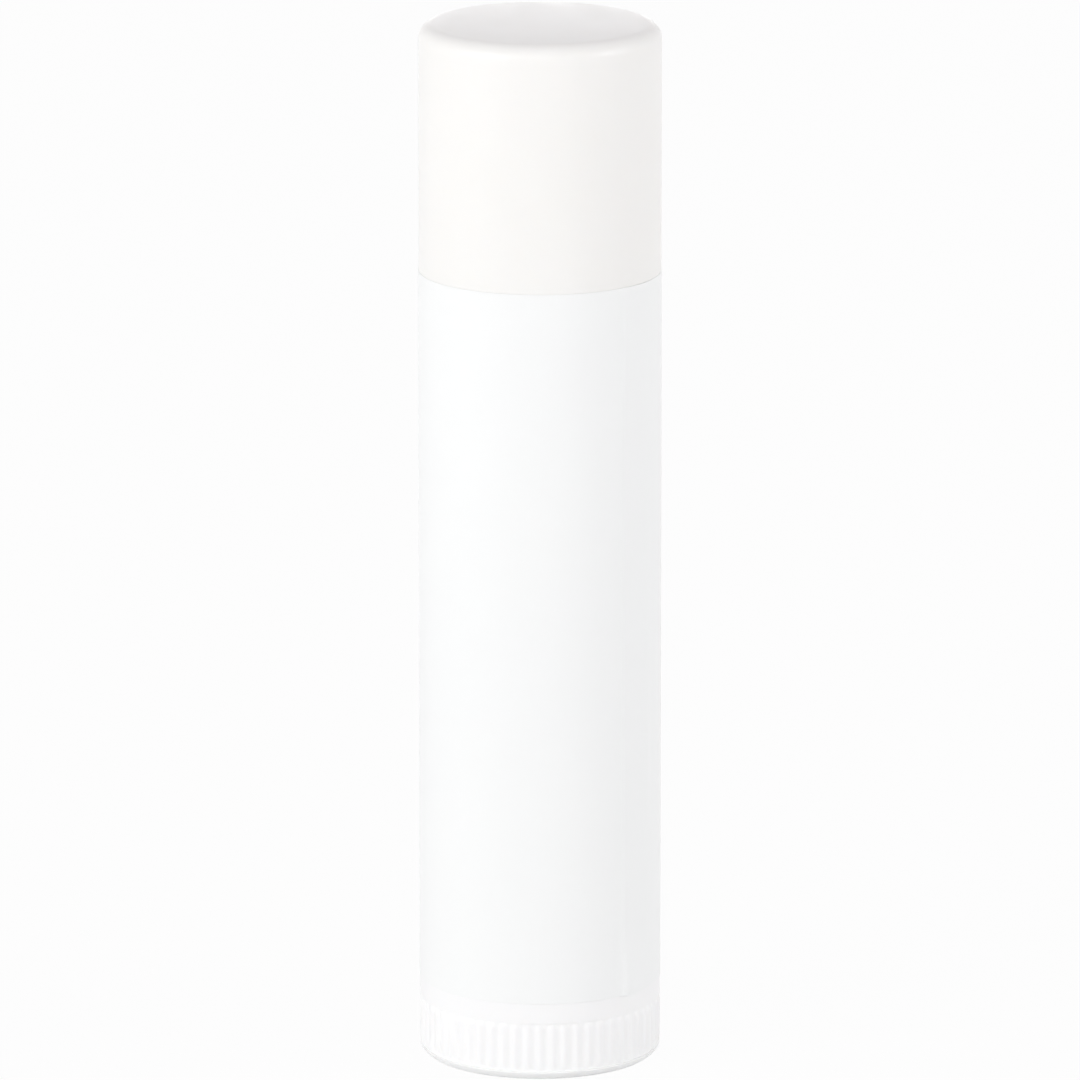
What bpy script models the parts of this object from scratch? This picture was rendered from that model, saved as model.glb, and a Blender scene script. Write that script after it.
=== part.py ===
"""Twist-up lip balm stick: cap, labelled barrel, ribbed base knob with its feed screw, elevator and balm.

Metres, +Z up. The origin is the middle of the knob's underside, and the front faces -Y.
"""

import math

import bmesh
import bpy
from mathutils import Matrix, Vector

# Whole stick
STICK_HEIGHT = 0.0700
OUTER_RADIUS = 0.0080
PART_LINE_GAP = 0.00015
TURN_STEPS = 64

# Base knob
KNOB_HEIGHT = 0.0052
KNOB_FOOT_EDGE = 0.00055
KNOB_TOP_EDGE = 0.00015
COLLAR_HEIGHT = 0.00130
RIB_COUNT = 60
STEPS_PER_RIB = 3
RIB_DEPTH = 0.00030
RIB_RUNOUT = 0.00040
FOOT_RING_WIDTH = 0.00205
RECESS_DEPTH = 0.0004
FINE_PART_STEPS = 48
HUB_HEIGHT = 0.0031
HUB_CLEARANCE = 0.00025
HUB_BEAD_RISE = 0.0005
HUB_BEAD_HEIGHT = 0.0010
HUB_BEAD_LIFT = 0.0011

# Feed screw and its nut
SCREW_END_DEPTH = 0.00625
SCREW_CORE_RADIUS = 0.0014
SCREW_CREST_RADIUS = 0.0022
THREAD_LEAD = 0.0040
THREAD_CREST_WIDTH = 0.0006
THREAD_ROOT_WIDTH = 0.0014
THREAD_CLEARANCE = 0.00025
SCREW_RINGS_PER_TURN = 10
NUT_RINGS_PER_TURN = 16
CREST_SPANS = 3
CORE_SPANS = 6
TIP_SHARE = 0.6

# Barrel
BARREL_EDGE = 0.00020
NECK_WALL = 0.00070
NECK_HEADROOM = 0.00285
NECK_BEAD_RISE = 0.00015
NECK_BEAD_HEIGHT = 0.0012
NECK_BEAD_LIFT = 0.0040
GUIDE_RIB_COUNT = 4
GUIDE_RIB_WIDTH = 0.0009
GUIDE_RIB_RISE = 0.0005
GUIDE_RIB_END_GAP = 0.0015

# Label
LABEL_FILM = 0.00010
LABEL_GLUE_GAP = 0.00010
LABEL_PROUD = 0.00003
LABEL_OVERLAP = 0.0026
LABEL_SEAM_ANGLE = math.radians(-46)
LABEL_STEPS = 72

# Elevator
ELEVATOR_GAP = 0.0003
CUP_CLEARANCE = 0.00015
CUP_FLOOR = 0.0010
CUP_WALL = 0.0010
CUP_DEPTH = 0.0048
CUP_SLOT_WIDTH = 0.0022
NUT_WALL = 0.00060
NUT_HEIGHT = 0.0070
NOTCH_CLEARANCE = 0.00015

# Balm
BALM_CLEARANCE = 0.00012
BALM_SEAT_GAP = 0.00012
BALM_SCREW_GAP = 0.00030
BALM_PROUD = 0.0007
BALM_EDGE_RADIUS = 0.0012
BALM_CROWN = 0.0005

# Cap
CAP_HEIGHT = 0.0166
CAP_WALL = 0.00095
CAP_TOP_WALL = 0.0013
CAP_TOP_EDGE = 0.00105
CAP_CROWN = 0.00010
CAP_RIM_EDGE = 0.00015
CAP_BEAD_CLEARANCE = 0.00020
CAP_GROOVE_DEPTH = 0.00025
CAP_INNER_EDGE = 0.0005

# Cutting and joining
ARC_STEPS = 4
CROWN_STEPS = 2
OVERRUN = 0.0005
MERGE_DISTANCE = 0.000001
SMOOTH_ANGLE = math.radians(35)

# Heights and radii that follow from the sizes above
CAP_RIM_Z = STICK_HEIGHT - CAP_HEIGHT
CAP_ROOF_Z = STICK_HEIGHT - CAP_TOP_WALL
CAP_BORE_RADIUS = OUTER_RADIUS - CAP_WALL
SHOULDER_Z = CAP_RIM_Z - PART_LINE_GAP
NECK_TOP_Z = CAP_ROOF_Z - NECK_HEADROOM
NECK_RADIUS = CAP_BORE_RADIUS - CAP_BEAD_CLEARANCE - NECK_BEAD_RISE
BORE_RADIUS = NECK_RADIUS - NECK_WALL
BARREL_FOOT_Z = KNOB_HEIGHT + PART_LINE_GAP
LABEL_INNER_RADIUS = OUTER_RADIUS + LABEL_PROUD - LABEL_FILM
BODY_RADIUS = LABEL_INNER_RADIUS - LABEL_GLUE_GAP
RECESS_RADIUS = OUTER_RADIUS - KNOB_FOOT_EDGE - FOOT_RING_WIDTH
HUB_RADIUS = BORE_RADIUS - HUB_CLEARANCE
HUB_TOP_Z = KNOB_HEIGHT + HUB_HEIGHT
HUB_BEAD_Z = KNOB_HEIGHT + HUB_BEAD_LIFT
BALM_RADIUS = BORE_RADIUS - BALM_CLEARANCE
BALM_TOP_Z = NECK_TOP_Z + BALM_PROUD
SCREW_TOP_Z = BALM_TOP_Z - SCREW_END_DEPTH
ELEVATOR_Z = HUB_TOP_Z + ELEVATOR_GAP
CUP_RADIUS = BORE_RADIUS - CUP_CLEARANCE
CUP_BORE_RADIUS = CUP_RADIUS - CUP_WALL
CUP_FLOOR_Z = ELEVATOR_Z + CUP_FLOOR
CUP_RIM_Z = CUP_FLOOR_Z + CUP_DEPTH
NUT_RADIUS = SCREW_CREST_RADIUS + THREAD_CLEARANCE + NUT_WALL
NUT_TOP_Z = ELEVATOR_Z + NUT_HEIGHT


def clear_scene():
    """Remove what a new file holds."""
    for thing in list(bpy.data.objects):
        bpy.data.objects.remove(thing, do_unlink=True)


def make_material(name, colour, roughness):
    """A Principled material; the colour is linear RGB."""
    material = bpy.data.materials.new(name)
    material.use_nodes = True
    shader = material.node_tree.nodes["Principled BSDF"]
    shader.inputs["Base Color"].default_value = (*colour, 1.0)
    shader.inputs["Roughness"].default_value = roughness
    shader.inputs["Metallic"].default_value = 0.0
    material.diffuse_color = (*colour, 1.0)
    return material


def make_pivot(name):
    """An empty on the stick's axis, for a piece that moves along it or round it."""
    pivot = bpy.data.objects.new(name, None)
    pivot.empty_display_size = OUTER_RADIUS
    bpy.context.collection.objects.link(pivot)
    return pivot


def make_object(name, bm, material=None, pivot=None):
    """Turn a bmesh into a named object, smooth where its faces meet at a shallow angle."""
    bmesh.ops.recalc_face_normals(bm, faces=bm.faces[:])
    mesh = bpy.data.meshes.new(name)
    bm.to_mesh(mesh)
    bm.free()
    mesh.shade_smooth()
    mesh.set_sharp_from_angle(angle=SMOOTH_ANGLE)
    piece = bpy.data.objects.new(name, mesh)
    bpy.context.collection.objects.link(piece)
    if material:
        mesh.materials.append(material)
    if pivot:
        piece.parent = pivot
    return piece


def hide_tool(tool):
    """Mark a cutting or joining body, which isn't a piece of the stick."""
    tool.hide_render = True
    tool.display_type = "WIRE"


def combine(piece, tool, operation):
    """Join a tool body to a piece or cut it away, and keep the tool hidden."""
    hide_tool(tool)
    modifier = piece.modifiers.new(tool.name, "BOOLEAN")
    modifier.operation = operation
    modifier.object = tool
    modifier.solver = "EXACT"


def arc(centre_r, centre_z, radius, start, end, steps=ARC_STEPS):
    """Points (r, z) on an arc of an outline, from one angle in degrees to another."""
    angles = [math.radians(start + (end - start) * i / steps) for i in range(steps + 1)]
    return [(centre_r + radius * math.cos(a), centre_z + radius * math.sin(a)) for a in angles]


def crown(radius, base_z, rise, steps=CROWN_STEPS):
    """Points (r, z) of a low dome, from just inside its edge to its top on the axis."""
    shares = [1 - i / steps for i in range(1, steps + 1)]
    return [(radius * share, base_z + rise * (1 - share ** 2)) for share in shares]


def spin_outline(outline, steps):
    """Spin a closed outline of (r, z) points round the stick's axis into a closed body."""
    bm = bmesh.new()
    ring = [bm.verts.new((r, 0.0, z)) for r, z in outline]
    edges = [bm.edges.new((a, b)) for a, b in zip(ring, ring[1:] + ring[:1]) if a.co.x + b.co.x > 0.0]
    bmesh.ops.spin(
        bm,
        geom=ring + edges,
        cent=Vector(),
        axis=Vector((0.0, 0.0, 1.0)),
        angle=math.tau,
        steps=steps,
    )
    bmesh.ops.remove_doubles(bm, verts=bm.verts[:], dist=MERGE_DISTANCE)
    return bm


def add_box(bm, centre, size, turn):
    """Add a box to a bmesh and turn it round the stick's axis."""
    place = Matrix.Rotation(turn, 4, "Z") @ Matrix.Translation(centre) @ Matrix.Diagonal((*size, 1.0))
    bmesh.ops.create_cube(bm, size=1.0, matrix=place)


def radial_blocks(name, count, inner, outer, width, low, high, first=0.0):
    """Blocks that stand out from the axis like spokes, as one tool body."""
    bm = bmesh.new()
    centre = Vector(((inner + outer) / 2, 0.0, (low + high) / 2))
    for i in range(count):
        add_box(bm, centre, (outer - inner, width, high - low), first + math.tau * i / count)
    return make_object(name, bm)


def thread_section(grow):
    """Angles and radii of the screw's cross-section, grown all round for the nut's thread."""
    angle_per_length = math.tau / THREAD_LEAD
    crest_half = (THREAD_CREST_WIDTH / 2 + grow) * angle_per_length
    root_half = (THREAD_ROOT_WIDTH / 2 + grow) * angle_per_length
    core = SCREW_CORE_RADIUS + grow
    crest = SCREW_CREST_RADIUS + grow
    section = [(crest_half * (2 * i / CREST_SPANS - 1), crest) for i in range(CREST_SPANS + 1)]
    free_angle = math.tau - 2 * root_half
    section += [(root_half + free_angle * i / CORE_SPANS, core) for i in range(CORE_SPANS + 1)]
    return section


def twist_thread(low, high, rings_per_turn, grow, tip_share=1.0):
    """Lift the cross-section up the axis while it turns left-handed: one start of thread."""
    bm = bmesh.new()
    section = thread_section(grow)
    rings = math.ceil((high - low) / THREAD_LEAD * rings_per_turn)
    loops = []
    for i in range(rings + 1):
        z = low + (high - low) * i / rings
        turn = -math.tau * (z - HUB_TOP_Z) / THREAD_LEAD
        share = tip_share if i == rings else 1.0
        loops.append([
            bm.verts.new((share * r * math.cos(a + turn), share * r * math.sin(a + turn), z))
            for a, r in section
        ])
    for below, above in zip(loops, loops[1:]):
        for i in range(len(section)):
            j = (i + 1) % len(section)
            bm.faces.new((below[i], below[j], above[j], above[i]))
    bm.faces.new(loops[0][::-1])
    bm.faces.new(loops[-1])
    return bm


def cut_grip_ribs(bm):
    """Push every third column of the wheel's wall inwards, which leaves the grip ribs between."""
    low = KNOB_FOOT_EDGE + RIB_RUNOUT / 2
    high = KNOB_HEIGHT - COLLAR_HEIGHT - RIB_RUNOUT / 2
    rib_angle = math.tau / RIB_COUNT
    for vert in bm.verts:
        radius = math.hypot(vert.co.x, vert.co.y)
        if low < vert.co.z < high and radius > OUTER_RADIUS - KNOB_TOP_EDGE:
            position = math.atan2(vert.co.y, vert.co.x) / rib_angle % 1.0
            if min(position, 1.0 - position) < 1 / (2 * STEPS_PER_RIB):
                vert.co.xy *= (radius - RIB_DEPTH) / radius
    bmesh.ops.rotate(bm, verts=bm.verts[:], matrix=Matrix.Rotation(rib_angle / 2, 3, "Z"))


def make_wheel(material, pivot):
    """The knob's wheel: rounded foot, grip ribs and a smooth collar on top."""
    ribs_low = KNOB_FOOT_EDGE
    ribs_high = KNOB_HEIGHT - COLLAR_HEIGHT
    rounding = arc(OUTER_RADIUS - KNOB_FOOT_EDGE, KNOB_FOOT_EDGE, KNOB_FOOT_EDGE, -90, 0, 2)
    outline = [(0.0, 0.0)] + rounding + [
        (OUTER_RADIUS, ribs_low + RIB_RUNOUT),
        (OUTER_RADIUS, ribs_high - RIB_RUNOUT),
        (OUTER_RADIUS, ribs_high),
        (OUTER_RADIUS, KNOB_HEIGHT - KNOB_TOP_EDGE),
        (OUTER_RADIUS - KNOB_TOP_EDGE, KNOB_HEIGHT),
        (0.0, KNOB_HEIGHT),
    ]
    bm = spin_outline(outline, RIB_COUNT * STEPS_PER_RIB)
    cut_grip_ribs(bm)
    return make_object("base_knob", bm, material, pivot)


def make_hub():
    """The hub on top of the wheel, with the bead that snaps into the barrel's groove."""
    bead = HUB_RADIUS + HUB_BEAD_RISE
    outline = [
        (0.0, KNOB_HEIGHT - OVERRUN),
        (HUB_RADIUS, KNOB_HEIGHT - OVERRUN),
        (HUB_RADIUS, HUB_BEAD_Z),
        (bead, HUB_BEAD_Z + HUB_BEAD_RISE / 2),
        (bead, HUB_BEAD_Z + HUB_BEAD_RISE),
        (HUB_RADIUS, HUB_BEAD_Z + HUB_BEAD_HEIGHT),
        (HUB_RADIUS, HUB_TOP_Z),
        (0.0, HUB_TOP_Z),
    ]
    return make_object("knob_hub_tool", spin_outline(outline, FINE_PART_STEPS))


def make_recess():
    """The shallow dish under the wheel, cut from below."""
    outline = [
        (0.0, -OVERRUN),
        (RECESS_RADIUS + OVERRUN, -OVERRUN),
        (RECESS_RADIUS - RECESS_DEPTH, RECESS_DEPTH),
        (0.0, RECESS_DEPTH),
    ]
    return make_object("knob_recess_tool", spin_outline(outline, FINE_PART_STEPS))


def make_base_knob(material, pivot):
    """Wheel, hub and feed screw, moulded as one piece."""
    knob = make_wheel(material, pivot)
    combine(knob, make_recess(), "DIFFERENCE")
    combine(knob, make_hub(), "UNION")
    thread = twist_thread(HUB_TOP_Z - OVERRUN, SCREW_TOP_Z, SCREW_RINGS_PER_TURN, 0.0, TIP_SHARE)
    combine(knob, make_object("feed_screw_tool", thread), "UNION")
    return knob


def make_barrel(material):
    """The tube: wide body, narrow neck, snap groove at the foot and guide ribs down the bore."""
    bead = NECK_RADIUS + NECK_BEAD_RISE
    bead_z = SHOULDER_Z + NECK_BEAD_LIFT
    groove = HUB_RADIUS + HUB_BEAD_RISE + HUB_CLEARANCE
    groove_low = HUB_BEAD_Z - HUB_CLEARANCE
    groove_high = HUB_BEAD_Z + HUB_BEAD_HEIGHT + HUB_CLEARANCE
    outline = [
        (BORE_RADIUS + BARREL_EDGE, BARREL_FOOT_Z),
        (BODY_RADIUS - BARREL_EDGE, BARREL_FOOT_Z),
        (BODY_RADIUS, BARREL_FOOT_Z + BARREL_EDGE),
        (BODY_RADIUS, SHOULDER_Z - BARREL_EDGE),
        (BODY_RADIUS - BARREL_EDGE, SHOULDER_Z),
        (NECK_RADIUS, SHOULDER_Z),
        (NECK_RADIUS, bead_z),
        (bead, bead_z + NECK_BEAD_RISE),
        (bead, bead_z + NECK_BEAD_HEIGHT - NECK_BEAD_RISE),
        (NECK_RADIUS, bead_z + NECK_BEAD_HEIGHT),
        (NECK_RADIUS, NECK_TOP_Z - BARREL_EDGE),
        (NECK_RADIUS - BARREL_EDGE, NECK_TOP_Z),
        (BORE_RADIUS, NECK_TOP_Z),
        (BORE_RADIUS, groove_high),
        (groove, groove_high),
        (groove, groove_low),
        (BORE_RADIUS, groove_low),
        (BORE_RADIUS, BARREL_FOOT_Z + BARREL_EDGE),
    ]
    barrel = make_object("barrel", spin_outline(outline, TURN_STEPS), material)
    ribs = radial_blocks(
        "guide_rib_tool",
        GUIDE_RIB_COUNT,
        BORE_RADIUS - GUIDE_RIB_RISE,
        BORE_RADIUS + (NECK_RADIUS - BORE_RADIUS) / 2,
        GUIDE_RIB_WIDTH,
        ELEVATOR_Z,
        NECK_TOP_Z - GUIDE_RIB_END_GAP,
    )
    combine(barrel, ribs, "UNION")
    return barrel


def make_label(material):
    """The wrapped film: one turn round the barrel, doubled where its end laps over its start."""
    low = BARREL_FOOT_Z
    high = SHOULDER_Z
    outer = LABEL_INNER_RADIUS + LABEL_FILM
    outline = [(LABEL_INNER_RADIUS, low), (outer, low), (outer, high), (LABEL_INNER_RADIUS, high)]
    bm = spin_outline(outline, LABEL_STEPS)
    lap_angle = LABEL_OVERLAP / outer
    for vert in bm.verts:
        radius = math.hypot(vert.co.x, vert.co.y)
        past_seam = (math.atan2(vert.co.y, vert.co.x) - LABEL_SEAM_ANGLE) % math.tau
        if radius > LABEL_INNER_RADIUS + LABEL_FILM / 2 and past_seam < lap_angle:
            vert.co.xy *= (outer + LABEL_FILM) / radius
    return make_object("label", bm, material)


def rib_notches(name, clearance, low, high):
    """A tool that leaves room for the barrel's guide ribs."""
    return radial_blocks(
        name,
        GUIDE_RIB_COUNT,
        BORE_RADIUS - GUIDE_RIB_RISE - clearance,
        BORE_RADIUS + OVERRUN,
        GUIDE_RIB_WIDTH + 2 * clearance,
        low - OVERRUN,
        high + OVERRUN,
    )


def make_elevator(material, pivot):
    """The cup that carries the balm, with its threaded nut, rib notches and open slots between prongs."""
    outline = [
        (0.0, ELEVATOR_Z),
        (CUP_RADIUS, ELEVATOR_Z),
        (CUP_RADIUS, CUP_RIM_Z),
        (CUP_BORE_RADIUS, CUP_RIM_Z),
        (CUP_BORE_RADIUS, CUP_FLOOR_Z),
        (NUT_RADIUS, CUP_FLOOR_Z),
        (NUT_RADIUS, NUT_TOP_Z),
        (0.0, NUT_TOP_Z),
    ]
    elevator = make_object("elevator", spin_outline(outline, TURN_STEPS), material, pivot)
    thread = twist_thread(ELEVATOR_Z - OVERRUN, NUT_TOP_Z + OVERRUN, NUT_RINGS_PER_TURN, THREAD_CLEARANCE)
    combine(elevator, make_object("nut_thread_tool", thread), "DIFFERENCE")
    combine(elevator, rib_notches("elevator_notch_tool", NOTCH_CLEARANCE, ELEVATOR_Z, CUP_RIM_Z), "DIFFERENCE")
    slots = radial_blocks(
        "prong_slot_tool",
        GUIDE_RIB_COUNT,
        (NUT_RADIUS + CUP_BORE_RADIUS) / 2,
        CUP_RADIUS + OVERRUN,
        CUP_SLOT_WIDTH,
        CUP_FLOOR_Z + CUP_FLOOR,
        CUP_RIM_Z + OVERRUN,
        math.pi / GUIDE_RIB_COUNT,
    )
    combine(elevator, slots, "DIFFERENCE")
    return elevator


def make_balm(material, pivot):
    """The wax: a crowned stick whose foot fills the cup, hollow round the nut and the screw."""
    screw_room = SCREW_CREST_RADIUS + BALM_SCREW_GAP
    nut_room = NUT_RADIUS + BALM_SEAT_GAP
    foot = CUP_BORE_RADIUS - BALM_SEAT_GAP
    edge_r = BALM_RADIUS - BALM_EDGE_RADIUS
    edge_z = BALM_TOP_Z - BALM_CROWN - BALM_EDGE_RADIUS
    outline = [
        (nut_room, CUP_FLOOR_Z + BALM_SEAT_GAP),
        (foot, CUP_FLOOR_Z + BALM_SEAT_GAP),
        (foot, CUP_RIM_Z + BALM_SEAT_GAP),
        (BALM_RADIUS, CUP_RIM_Z + BALM_SEAT_GAP),
    ]
    outline += arc(edge_r, edge_z, BALM_EDGE_RADIUS, 0, 90)
    outline += crown(edge_r, BALM_TOP_Z - BALM_CROWN, BALM_CROWN)
    outline += [
        (0.0, SCREW_TOP_Z + BALM_SCREW_GAP),
        (screw_room, SCREW_TOP_Z + BALM_SCREW_GAP),
        (screw_room, NUT_TOP_Z + BALM_SEAT_GAP),
        (nut_room, NUT_TOP_Z + BALM_SEAT_GAP),
    ]
    balm = make_object("balm_stick", spin_outline(outline, TURN_STEPS), material, pivot)
    combine(balm, rib_notches("balm_groove_tool", NOTCH_CLEARANCE, CUP_RIM_Z, BALM_TOP_Z), "DIFFERENCE")
    return balm


def make_cap(material, pivot):
    """The pull-off cap: rounded top edge, and a groove inside for the neck's bead."""
    groove_low = SHOULDER_Z + NECK_BEAD_LIFT - CAP_BEAD_CLEARANCE
    groove_high = groove_low + NECK_BEAD_HEIGHT + 2 * CAP_BEAD_CLEARANCE
    groove = CAP_BORE_RADIUS + CAP_GROOVE_DEPTH
    disc_radius = OUTER_RADIUS - CAP_TOP_EDGE
    shelf_z = STICK_HEIGHT - CAP_CROWN
    outline = [
        (CAP_BORE_RADIUS + CAP_RIM_EDGE, CAP_RIM_Z),
        (OUTER_RADIUS - CAP_RIM_EDGE, CAP_RIM_Z),
        (OUTER_RADIUS, CAP_RIM_Z + CAP_RIM_EDGE),
    ]
    outline += arc(disc_radius, shelf_z - CAP_TOP_EDGE, CAP_TOP_EDGE, 0, 90)
    outline += crown(disc_radius, shelf_z, CAP_CROWN)
    outline += [
        (0.0, CAP_ROOF_Z),
        (CAP_BORE_RADIUS - CAP_INNER_EDGE, CAP_ROOF_Z),
        (CAP_BORE_RADIUS, CAP_ROOF_Z - CAP_INNER_EDGE),
        (CAP_BORE_RADIUS, groove_high),
        (groove, groove_high - CAP_GROOVE_DEPTH),
        (groove, groove_low + CAP_GROOVE_DEPTH),
        (CAP_BORE_RADIUS, groove_low),
        (CAP_BORE_RADIUS, CAP_RIM_Z + CAP_RIM_EDGE),
    ]
    return make_object("cap", spin_outline(outline, TURN_STEPS), material, pivot)


def main():
    clear_scene()
    knob_plastic = make_material("moulded_knob_plastic", (0.86, 0.86, 0.86), 0.40)
    barrel_plastic = make_material("moulded_barrel_plastic", (0.85, 0.86, 0.86), 0.40)
    cap_plastic = make_material("moulded_cap_plastic", (0.87, 0.86, 0.83), 0.38)
    elevator_plastic = make_material("natural_polypropylene", (0.78, 0.79, 0.78), 0.45)
    film = make_material("blank_label_film", (0.85, 0.87, 0.88), 0.35)
    wax = make_material("pale_wax", (0.84, 0.76, 0.58), 0.50)
    turning_axis = make_pivot("turning_axis")
    lift_axis = make_pivot("lift_axis")
    cap_axis = make_pivot("cap_axis")
    cap_axis.parent = lift_axis
    make_base_knob(knob_plastic, turning_axis)
    make_barrel(barrel_plastic)
    make_label(film)
    make_elevator(elevator_plastic, lift_axis)
    make_balm(wax, lift_axis)
    make_cap(cap_plastic, cap_axis)


main()
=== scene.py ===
# %% [markdown]
# # A twist-up lip balm stick, dressed for its portrait
#
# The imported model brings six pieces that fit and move: the cap, the barrel with its wrapped label, the base
# knob with its feed screw, and the elevator that carries the balm. This lesson gives every piece a finely
# modelled body and the finish of the plastic, film or wax that it is made of, and then sets up the camera and
# a plain studio. Everything is in metres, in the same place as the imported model.

# %% Load the frame
import math

import bmesh
import bpy
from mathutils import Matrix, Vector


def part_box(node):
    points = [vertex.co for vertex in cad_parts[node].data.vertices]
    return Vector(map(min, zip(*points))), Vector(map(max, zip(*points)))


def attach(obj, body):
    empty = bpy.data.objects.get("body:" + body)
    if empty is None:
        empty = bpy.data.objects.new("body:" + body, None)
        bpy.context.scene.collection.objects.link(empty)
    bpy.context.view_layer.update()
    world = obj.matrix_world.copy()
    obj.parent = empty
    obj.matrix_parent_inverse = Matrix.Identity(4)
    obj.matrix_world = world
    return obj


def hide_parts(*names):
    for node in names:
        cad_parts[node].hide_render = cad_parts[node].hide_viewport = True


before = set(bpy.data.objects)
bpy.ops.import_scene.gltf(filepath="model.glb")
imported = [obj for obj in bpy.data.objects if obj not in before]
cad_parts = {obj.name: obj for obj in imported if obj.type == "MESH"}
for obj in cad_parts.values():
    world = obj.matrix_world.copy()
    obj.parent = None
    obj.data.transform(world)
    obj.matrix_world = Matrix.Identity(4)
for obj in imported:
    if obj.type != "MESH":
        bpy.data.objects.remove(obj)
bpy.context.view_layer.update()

MM = 0.001
print("packed nodes:", sorted(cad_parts))


# %% [markdown]
# ## Sizes read from the frame
#
# Every new piece stands for a packed one, so it takes its heights and radii from that piece's box. Only what
# a box can't tell, such as a wall thickness or the radius of an edge, has a value of its own.

# %% Read the sizes
def height_range(node):
    """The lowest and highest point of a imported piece."""
    low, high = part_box(node)
    return low[2], high[2]


def radius_of(node):
    """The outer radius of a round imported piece."""
    low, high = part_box(node)
    return (high[0] - low[0]) / 2


stick_low, screw_top = height_range("base_knob")
neck_top = height_range("barrel")[1]
label_low, label_high = height_range("label")
cap_low, cap_high = height_range("cap")
elevator_low, nut_top = height_range("elevator")
balm_low, balm_high = height_range("balm_stick")

outer_radius = radius_of("cap")
tube_radius = radius_of("barrel")
label_radius = radius_of("label")
cup_radius = radius_of("elevator")
balm_radius = radius_of("balm_stick")
print("stick %.1f mm tall, cap %.1f mm across" % ((cap_high - stick_low) / MM, 2 * outer_radius / MM))


# %% [markdown]
# ## Closing the part lines
#
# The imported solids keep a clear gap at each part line. On the real stick the cap and the knob close against
# the label to a hairline that is barely seen, so each piece here reaches a little way into that gap.

# %% Place the part lines
HAIRLINE = 0.003 * MM
reach = (cap_low - label_high - HAIRLINE) / 2
cap_rim = cap_low - reach
shoulder = label_high + reach
tube_foot = label_low - reach
knob_high = tube_foot - HAIRLINE
print("part lines at %.2f and %.2f mm" % (cap_rim / MM, tube_foot / MM))


# %% [markdown]
# ## Helpers for modelling by hand, in code
#
# A modeller picks faces and edges with the mouse. In a script the same picking is a test on each element's
# place. Loading the frame leaves its nodes selected, so every new primitive starts from a clean selection.

# %% Start a piece
def leave_edit_mode():
    """Go back to object mode with nothing selected."""
    if bpy.context.object and bpy.context.object.mode == "EDIT":
        bpy.ops.object.mode_set(mode="OBJECT")
    bpy.ops.object.select_all(action="DESELECT")


def name_and_edit(name):
    """Name the new primitive, leave its origin at the world's, and enter edit mode."""
    piece = bpy.context.object
    piece.name = name
    bpy.ops.object.transform_apply(location=True, rotation=True, scale=True)
    bpy.ops.object.mode_set(mode="EDIT")
    return piece


def new_cylinder(name, radius, low, high, vertices, ends="NGON"):
    """Add a cylinder that stands on the axis between two heights."""
    leave_edit_mode()
    bpy.ops.mesh.primitive_cylinder_add(
        vertices=vertices, radius=radius, depth=high - low,
        end_fill_type=ends, location=(0, 0, (low + high) / 2))
    return name_and_edit(name)


def new_spoke(name, inner, outer, width, low, high, turn):
    """Add a block that stands out from the axis like a spoke, at an angle in degrees."""
    leave_edit_mode()
    angle = math.radians(turn)
    halfway = (inner + outer) / 2
    bpy.ops.mesh.primitive_cube_add(
        size=1, location=(halfway * math.cos(angle), halfway * math.sin(angle), (low + high) / 2),
        rotation=(0, 0, angle), scale=(outer - inner, width, high - low))
    return name_and_edit(name)


# %% Pick elements by their place
TOUCH = 0.01 * MM
FINE_TOUCH = TOUCH / 10
SAME_TURN = 1.0
FACING = 0.5


def corners(element):
    """The vertices of an edge or a face, or a vertex by itself."""
    return [element] if isinstance(element, bmesh.types.BMVert) else list(element.verts)


def middle(element):
    """The middle of a vertex, an edge or a face."""
    places = [v.co for v in corners(element)]
    return sum(places[1:], places[0].copy()) / len(places)


def at_height(element, z, slack=TOUCH):
    """True where an element lies wholly at one height."""
    return all(abs(v.co.z - z) < slack for v in corners(element))


def at_radius(element, r, slack=TOUCH):
    """True where an element's corners all lie at one distance from the axis."""
    return all(abs(math.hypot(v.co.x, v.co.y) - r) < slack for v in corners(element))


def on_ring(element, r, *heights):
    """True where an element lies on a circle round the axis, at one of the heights."""
    return at_radius(element, r) and any(at_height(element, z) for z in heights)


def turn_of(element):
    """The angle of an element round the axis, in degrees from +X towards +Y."""
    place = middle(element)
    return math.degrees(math.atan2(place.y, place.x)) % 360


def apart(turn, other):
    """The angle between two directions round the axis, in degrees."""
    return abs((turn - other + 180) % 360 - 180)


def pick(kind, test):
    """Select the VERT, EDGE or FACE elements that pass a test, and nothing else."""
    bpy.ops.mesh.select_mode(type=kind)
    bpy.ops.mesh.select_all(action="DESELECT")
    mesh = bmesh.from_edit_mesh(bpy.context.object.data)
    elements = {"VERT": mesh.verts, "EDGE": mesh.edges, "FACE": mesh.faces}[kind]
    for element in elements:
        if test(element):
            element.select = True
    mesh.select_flush_mode()
    bmesh.update_edit_mesh(bpy.context.object.data)


# %% Shape what is picked
def widen(factor):
    """Scale what is selected away from the axis, or towards it."""
    bpy.ops.transform.resize(value=(factor, factor, 1), center_override=(0, 0, 0))


def lift(distance):
    """Move what is selected up, or down where the distance is negative."""
    bpy.ops.transform.translate(value=(0, 0, distance))


def extrude_up(distance):
    """Extrude what is selected along the axis."""
    bpy.ops.mesh.extrude_region_move(TRANSFORM_OT_translate={"value": (0, 0, distance)})


def round_edges(width, segments, shape=0.5):
    """Bevel the selected edges, to a quarter round or, with a lower shape, to a softened chamfer."""
    bpy.ops.mesh.bevel(offset=width, segments=segments, profile=shape, affect="EDGES")


def cut_ring(z, test):
    """Cut the faces that pass a test level at one height."""
    pick("FACE", test)
    bpy.ops.mesh.bisect(plane_co=(0, 0, z), plane_no=(0, 0, 1), threshold=FINE_TOUCH)


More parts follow.
